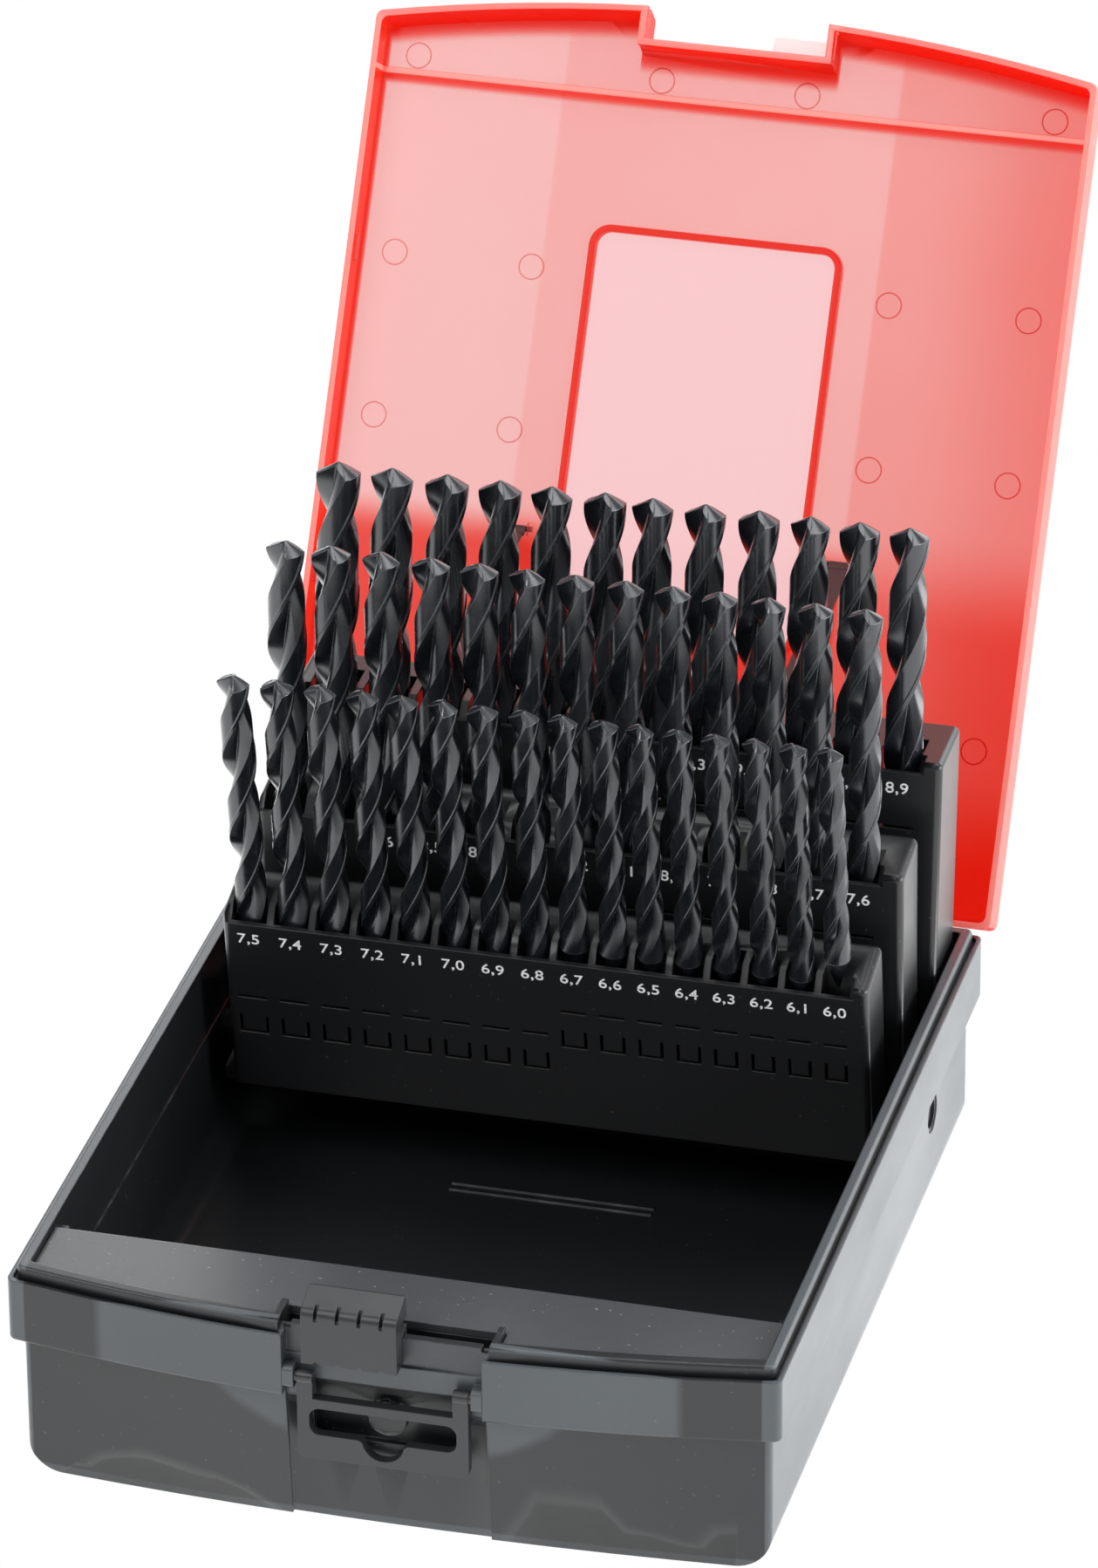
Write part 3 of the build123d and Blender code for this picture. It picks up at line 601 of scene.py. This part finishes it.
def drill_rings(size):
    """The (angle, radius, height) rings of half a drill, from its shank's end to its point."""
    length, flutes = drill_size(size)
    radius = size / 2
    slope = 1 / math.tan(math.radians(POINT_HALF_ANGLE))
    corner = length - radius * slope
    start = length - flutes
    steps = int((corner - start) / RING_SPACING)
    levels = [0.0, 0.5, start * 0.5, start]
    levels += [start + (corner - start) * k / steps for k in range(1, steps + 1)]
    rings = []
    for z in levels:
        depth = min(1.0, max(0.0, (z - start) / (1.3 * size))) ** 0.8
        chamfer = 0.88 if z == 0 else 1.0
        section = flute_section(depth)
        rings.append([(angle, radius * share * chamfer, z) for angle, share in section])
    for shrink in (0.985, 0.85, 0.6, 0.35, 0.12):
        ring = []
        for angle, share in flute_section(1.0):
            r = radius * share * shrink
            behind_edge = max(0.0, (CUTTING_EDGE - angle) / CUTTING_EDGE)
            ring.append((angle, r, length - r * slope - 0.10 * r * behind_edge))
        rings.append(ring)
    return rings


def drill_mesh(name, size, material):
    """A twist drill standing on z = 0, in millimetres."""
    length = drill_size(size)[0]
    pitch = math.pi * size / math.tan(math.radians(HELIX))
    rings = drill_rings(size)
    points = []
    for ring in rings:
        for half in (0, 180):
            for angle, r, z in ring:
                turn = math.radians(angle + half) + 2 * math.pi * (z - length) / pitch
                points.append((r * math.cos(turn), r * math.sin(turn), z))
    count = 2 * len(rings[0])
    faces = [tuple(reversed(range(count)))]
    for k in range(len(rings) - 1):
        for i in range(count):
            j = (i + 1) % count
            faces.append((k * count + i, k * count + j, (k + 1) * count + j, (k + 1) * count + i))
    top = (len(rings) - 1) * count
    points.append((0, 0, length - 0.01 * size))
    faces += [(top + i, top + (i + 1) % count, len(points) - 1) for i in range(count)]
    return add_mesh(name, points, faces, material, 32)


def drill_matrix(name, size, x, y, tip, lean):
    """Where a drill stands in the row frame, leaning from wall to wall of its pocket."""
    length = drill_size(size)[0]
    shown = RACKS[name][4]
    hidden = length - shown
    limit = 2 * POCKET_ROOM / hidden
    tilt = max(-limit, min(limit, math.asin(lean / length)))
    pivot = Matrix.Translation((x, y, tip - shown - hidden / 2))
    return (rack_matrix(name) @ pivot @ Matrix.Rotation(tilt, 4, "Y")
            @ Matrix.Translation((0, 0, -hidden / 2)))


for name in RACKS:
    for (size, x, y, tip), lean in zip(pocket_row(name), LEANS[name]):
        number = round(size * 10)
        drill = drill_mesh(f"twist_drill_{number:03d}", size, DRILL_BLACK)
        spin = Matrix.Rotation(math.radians(132 + 11 * math.sin(2.4 * number)), 4, "Z")
        matrix = drill_matrix(name, size, x, y, tip, lean) @ spin
        place(drill, matrix, f"bit_{number:03d}")
        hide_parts(f"drill_{number:03d}")


# ---------------------------------------------------------------- numbers on the racks

def text_mesh(text, height, material, name):
    """Raised text in the XZ plane, centred, facing -Y, in millimetres."""
    curve = bpy.data.curves.new(name, "FONT")
    curve.body = text
    curve.size = height * 1.37
    curve.extrude = NUMBER_PROUD
    curve.offset = 0.035
    curve.align_x = "CENTER"
    curve.align_y = "CENTER"
    curve.space_character = 1.06
    holder = bpy.data.objects.new(name, curve)
    bpy.context.scene.collection.objects.link(holder)
    bpy.context.view_layer.update()
    shaped = holder.evaluated_get(bpy.context.evaluated_depsgraph_get())
    mesh = bpy.data.meshes.new_from_object(shaped)
    bpy.data.objects.remove(holder)
    mesh.transform(Matrix.Rotation(math.radians(90), 4, "X"))
    made = bpy.data.objects.new(name, mesh)
    bpy.context.scene.collection.objects.link(made)
    mesh.materials.clear()
    mesh.materials.append(material)
    return made


for name, (_, face, lip, *_) in RACKS.items():
    numbers = []
    for size, x, _, _ in pocket_row(name):
        text = f"{size:.1f}".replace(".", ",")
        number = text_mesh(text, NUMBER_HEIGHT, WHITE, f"number_{size * 10:.0f}")
        number.data.transform(
            Matrix.Translation((x, face - NUMBER_PROUD, lip - NUMBER_DROP))
            @ Matrix.Diagonal((NUMBER_WIDER, 1, 1, 1)))
        numbers.append(number)
    place(join(numbers, f"numbers_{name}"), rack_matrix(name), f"rack_{name}")


# ---------------------------------------------------------------- marks on the lid

def ejector_mark(x, y, name):
    """A faint moulded ring on the inside of the lid."""
    points, faces = [], []
    steps = 48
    sides = len(MARK_SECTION)
    for k in range(steps):
        a = 2 * math.pi * k / steps
        for radius, rise in MARK_SECTION:
            points.append((
                x + radius * math.cos(a), y + radius * math.sin(a), LID_INSIDE + rise))
    for k in range(steps):
        j = (k + 1) % steps
        for i in range(sides - 1):
            faces.append((sides * k + i, sides * j + i, sides * j + i + 1, sides * k + i + 1))
        faces.append((sides * k + sides - 1, sides * j + sides - 1, sides * j, sides * k))
    return add_mesh(name, points, faces, LID_RED, 40)


marks = []
for x, y in MARKS:
    for side in (-1, 1):
        marks.append(ejector_mark(side * x + MARK_SHIFT, y, f"mark_{side * x:.0f}_{y:.0f}"))
place(join(marks, "lid_marks"), lid_matrix(), "lid")


# ---------------------------------------------------------------- studio

FLOOR_HALF = 6
CAMERA_AZIMUTH = 14.932         # degrees, to the right of the case's front
CAMERA_ELEVATION = 28.988
CAMERA_ROLL = -0.456
CAMERA_DISTANCE = 2.3453
CAMERA_TARGET = (-0.033181, 0.161262, 0.036804)
# name, place, size, what it points at, colour, strength
CARDS = (
    ("key", (-1.0, -1.3, 1.9), (1.2, 1.2), (0, 0, 0.05), (1.0, 0.99, 0.98), 24),
    ("side", (2.0, 0.15, 0.55), (1.8, 1.0), (0, 0, 0.08), (0.99, 1.0, 1.0), 50),
    ("top", (0.2, 0.6, 2.2), (1.6, 1.0), (0, 0, 0.05), (1.0, 1.0, 1.0), 22),
    ("back", (0.3, 2.4, 0.9), (2.6, 1.4), (0, 0.15, 0.12), (1.0, 1.0, 1.0), 46),
)


def card(name, place_at, size, aim, colour, strength):
    """A plain glowing card that the camera itself never sees."""
    light = bpy.data.lights.new(name, "AREA")
    light.shape = "RECTANGLE"
    light.size, light.size_y = size
    light.energy = strength
    light.color = colour
    made = bpy.data.objects.new(name, light)
    bpy.context.scene.collection.objects.link(made)
    made.location = place_at
    made.rotation_mode = "QUATERNION"
    made.rotation_quaternion = (Vector(aim) - Vector(place_at)).to_track_quat("-Z", "Y")
    made.visible_camera = False


def floor():
    """A pale floor that looks plain white to the camera and glows in reflections."""
    far = FLOOR_HALF
    mesh = bpy.data.meshes.new("floor")
    corners = [(-far, -far, 0), (far, -far, 0), (far, far, 0), (-far, far, 0)]
    mesh.from_pydata(corners, [], [(0, 1, 2, 3)])
    made = bpy.data.objects.new("floor", mesh)
    bpy.context.scene.collection.objects.link(made)
    s = Shader("floor_white")
    rays = s.node("LightPath").outputs
    paper = s.node("BsdfDiffuse")
    s.put(s.mix(s.noise(2.0), (0.78, 0.78, 0.78), (0.82, 0.82, 0.82)), paper.inputs["Color"])
    white = s.node("Emission")
    s.put(s.plus(s.times(rays["Is Glossy Ray"], 0.9), 1.0), white.inputs["Strength"])
    seen = s.most(rays["Is Camera Ray"], rays["Is Transmission Ray"], rays["Is Glossy Ray"])
    mesh.materials.append(s.surface(s.blend(seen, paper, white)))
    made.location.z = -0.0005


def world():
    """Plain white behind the object, and an even, slightly cool light from the room."""
    made = bpy.data.worlds.new("studio")
    bpy.context.scene.world = made
    made.use_nodes = True
    tree = made.node_tree
    tree.nodes.clear()
    output = tree.nodes.new("ShaderNodeOutputWorld")
    rays = tree.nodes.new("ShaderNodeLightPath").outputs
    room = tree.nodes.new("ShaderNodeBackground")
    room.inputs["Color"].default_value = (0.95, 0.97, 1.0, 1.0)
    room.inputs["Strength"].default_value = 0.45
    white = tree.nodes.new("ShaderNodeBackground")
    white.inputs["Strength"].default_value = 1.0
    seen = tree.nodes.new("ShaderNodeMath")
    seen.operation = "MAXIMUM"
    blend = tree.nodes.new("ShaderNodeMixShader")
    tree.links.new(rays["Is Camera Ray"], seen.inputs[0])
    tree.links.new(rays["Is Transmission Ray"], seen.inputs[1])
    tree.links.new(seen.outputs[0], blend.inputs[0])
    tree.links.new(room.outputs[0], blend.inputs[1])
    tree.links.new(white.outputs[0], blend.inputs[2])
    tree.links.new(blend.outputs[0], output.inputs["Surface"])


def camera():
    """The photograph's viewpoint: the case's front right, from above."""
    data = bpy.data.cameras.new("camera")
    made = bpy.data.objects.new("camera", data)
    bpy.context.scene.collection.objects.link(made)
    bpy.context.scene.camera = made
    azimuth, elevation = math.radians(CAMERA_AZIMUTH), math.radians(CAMERA_ELEVATION)
    back = Vector((math.sin(azimuth) * math.cos(elevation),
                   -math.cos(azimuth) * math.cos(elevation), math.sin(elevation)))
    made.location = Vector(CAMERA_TARGET) + back * CAMERA_DISTANCE
    made.rotation_mode = "QUATERNION"
    made.rotation_quaternion = (-back).to_track_quat("-Z", "Y")
    roll = Matrix.Rotation(math.radians(CAMERA_ROLL), 3, "Z")
    made.rotation_quaternion = (made.rotation_quaternion.to_matrix() @ roll).to_quaternion()
    data.sensor_width = 36.0
    data.lens = 229.64
    data.shift_y = 0.0015
    data.clip_start, data.clip_end = 0.05, 50


floor()
world()
camera()
for settings in CARDS:
    card(*settings)

scene = bpy.context.scene
scene.view_settings.view_transform = "Standard"
